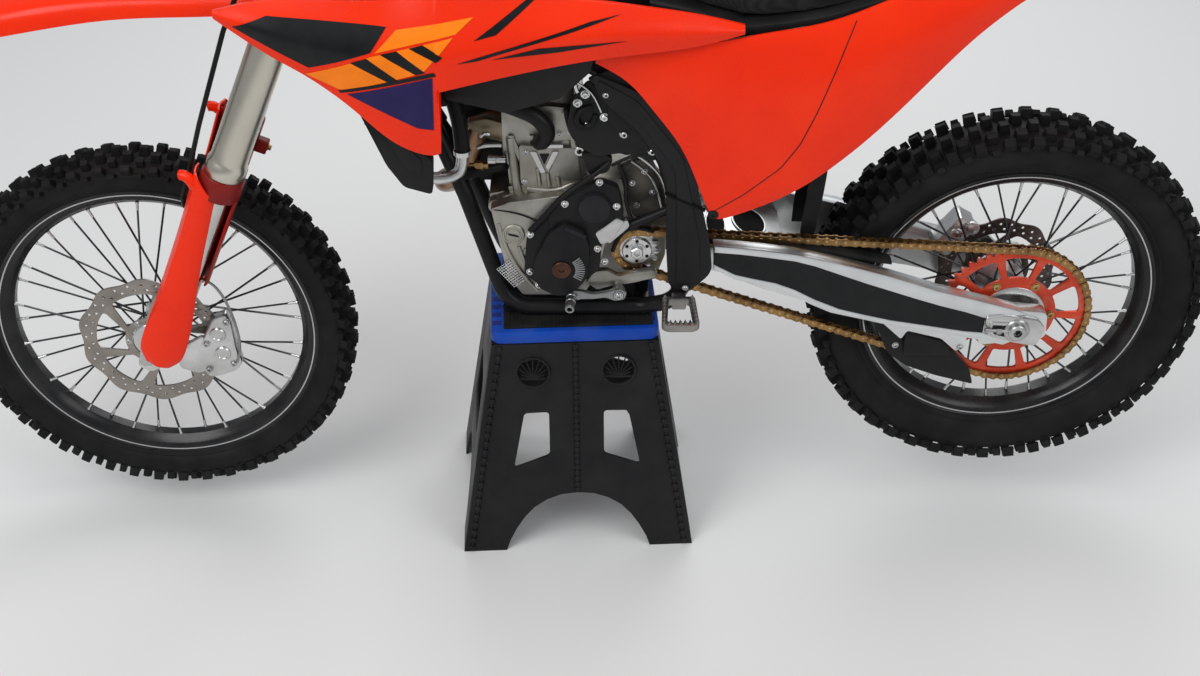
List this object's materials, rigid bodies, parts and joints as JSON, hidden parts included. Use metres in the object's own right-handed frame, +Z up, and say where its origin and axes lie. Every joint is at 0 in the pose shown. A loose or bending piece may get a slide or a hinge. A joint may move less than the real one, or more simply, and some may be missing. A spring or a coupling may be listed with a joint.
{
  "type": "dirt bike",
  "caption": "Motocross bike on a folding box stand: lofted plastics, tube frame, spoked wheels, long fork, chain drive, turning wheels and steering.",
  "frame": {"origin": "on the floor on the centre plane, half way between the axles, under the middle of the bounding box", "axes": "+X to the rear along the bike, +Y to its right, +Z up; the front points to -X"},
  "size_m": [2.188, 0.8266, 1.3436],
  "materials": {
    "orange_plastic": "glossy moulded plastic with a printed film",
    "black_plastic": "fine grained moulded plastic",
    "tank_black": "satin moulded plastic",
    "frame_black": "satin powder coat",
    "cover_black": "matt coated casting",
    "bar_black": "anodised",
    "clamp_orange": "anodised",
    "sprocket_orange": "anodised",
    "rim_black": "gloss anodised",
    "subframe_alloy": "plain",
    "engine_alloy": "sand cast",
    "radiator_alloy": "finned",
    "silencer_alloy": "brushed",
    "swingarm_alloy": "satin cast",
    "caliper_alloy": "satin cast",
    "hub_alloy": "machined",
    "lever_alloy": "forged, polished",
    "fork_nickel": "satin coated tube",
    "exhaust_steel": "heat tinted",
    "disc_steel": "ground",
    "axle_steel": "plain",
    "shock_steel": "coated spring",
    "chain_bronze": "bronze coloured steel",
    "tyre_rubber": "knobby",
    "black_rubber": "matt",
    "pad_black": "foam under a woven cover",
    "hose_black": "smooth hose",
    "seat_cover": "ribbed grip cover",
    "stand_blue": "moulded",
    "stand_black": "moulded"
  },
  "bodies": {
    "chassis": {"main_frame": "frame_black", "frame_guards": "black_plastic", "subframe": "subframe_alloy", "crankcase": "engine_alloy", "cylinder": "engine_alloy", "engine_covers": "cover_black", "exhaust_header": "exhaust_steel", "silencer": "silencer_alloy", "radiators": "radiator_alloy", "coolant_hoses": "black_rubber", "radiator_guards": "black_plastic", "shrouds": "orange_plastic", "fuel_tank": "tank_black", "seat": "seat_cover", "airbox": "black_plastic", "side_panels": "orange_plastic", "rear_fender": "orange_plastic", "mud_flap": "black_rubber", "swingarm": "swingarm_alloy", "shock_absorber": "shock_steel", "rear_axle": "axle_steel", "rear_caliper": "caliper_alloy", "chain": "chain_bronze", "chain_guide": "black_plastic", "drive_sprocket": "axle_steel", "footpegs": "axle_steel", "foot_levers": "lever_alloy", "stand_top": "stand_blue", "stand_mat": "black_rubber", "stand_legs": "stand_black"},
    "steering": {"triple_clamps": "clamp_orange", "fork_tubes": "fork_nickel", "fork_legs": "caliper_alloy", "fork_guards": "orange_plastic", "front_axle": "axle_steel", "front_caliper": "caliper_alloy", "front_fender": "orange_plastic", "front_plate": "black_plastic", "handlebar": "bar_black", "grips": "black_rubber", "controls": "lever_alloy", "bar_pad": "pad_black", "front_brake_hose": "hose_black"},
    "front_wheel": {"front_tyre": "tyre_rubber", "front_rim": "rim_black", "front_hub": "hub_alloy", "front_disc": "disc_steel"},
    "rear_wheel": {"rear_tyre": "tyre_rubber", "rear_rim": "rim_black", "rear_hub": "hub_alloy", "rear_disc": "disc_steel", "rear_sprocket": "sprocket_orange"}
  },
  "joints": [
    {"name": "steering", "type": "hinge", "parent": "chassis", "child": "steering", "pos_m": [-0.3834, 0, 1.11], "axis": [0.3963, 0, 0.9181], "range_deg": [-44, 44]},
    {"name": "front_wheel_spin", "type": "hinge", "parent": "steering", "child": "front_wheel", "pos_m": [-0.74482, 0, 0.39139], "axis": [0, 1, 0], "continuous": true},
    {"name": "rear_wheel_spin", "type": "hinge", "parent": "chassis", "child": "rear_wheel", "pos_m": [0.74495, 0, 0.44895], "axis": [0, 1, 0], "continuous": true}
  ]
}
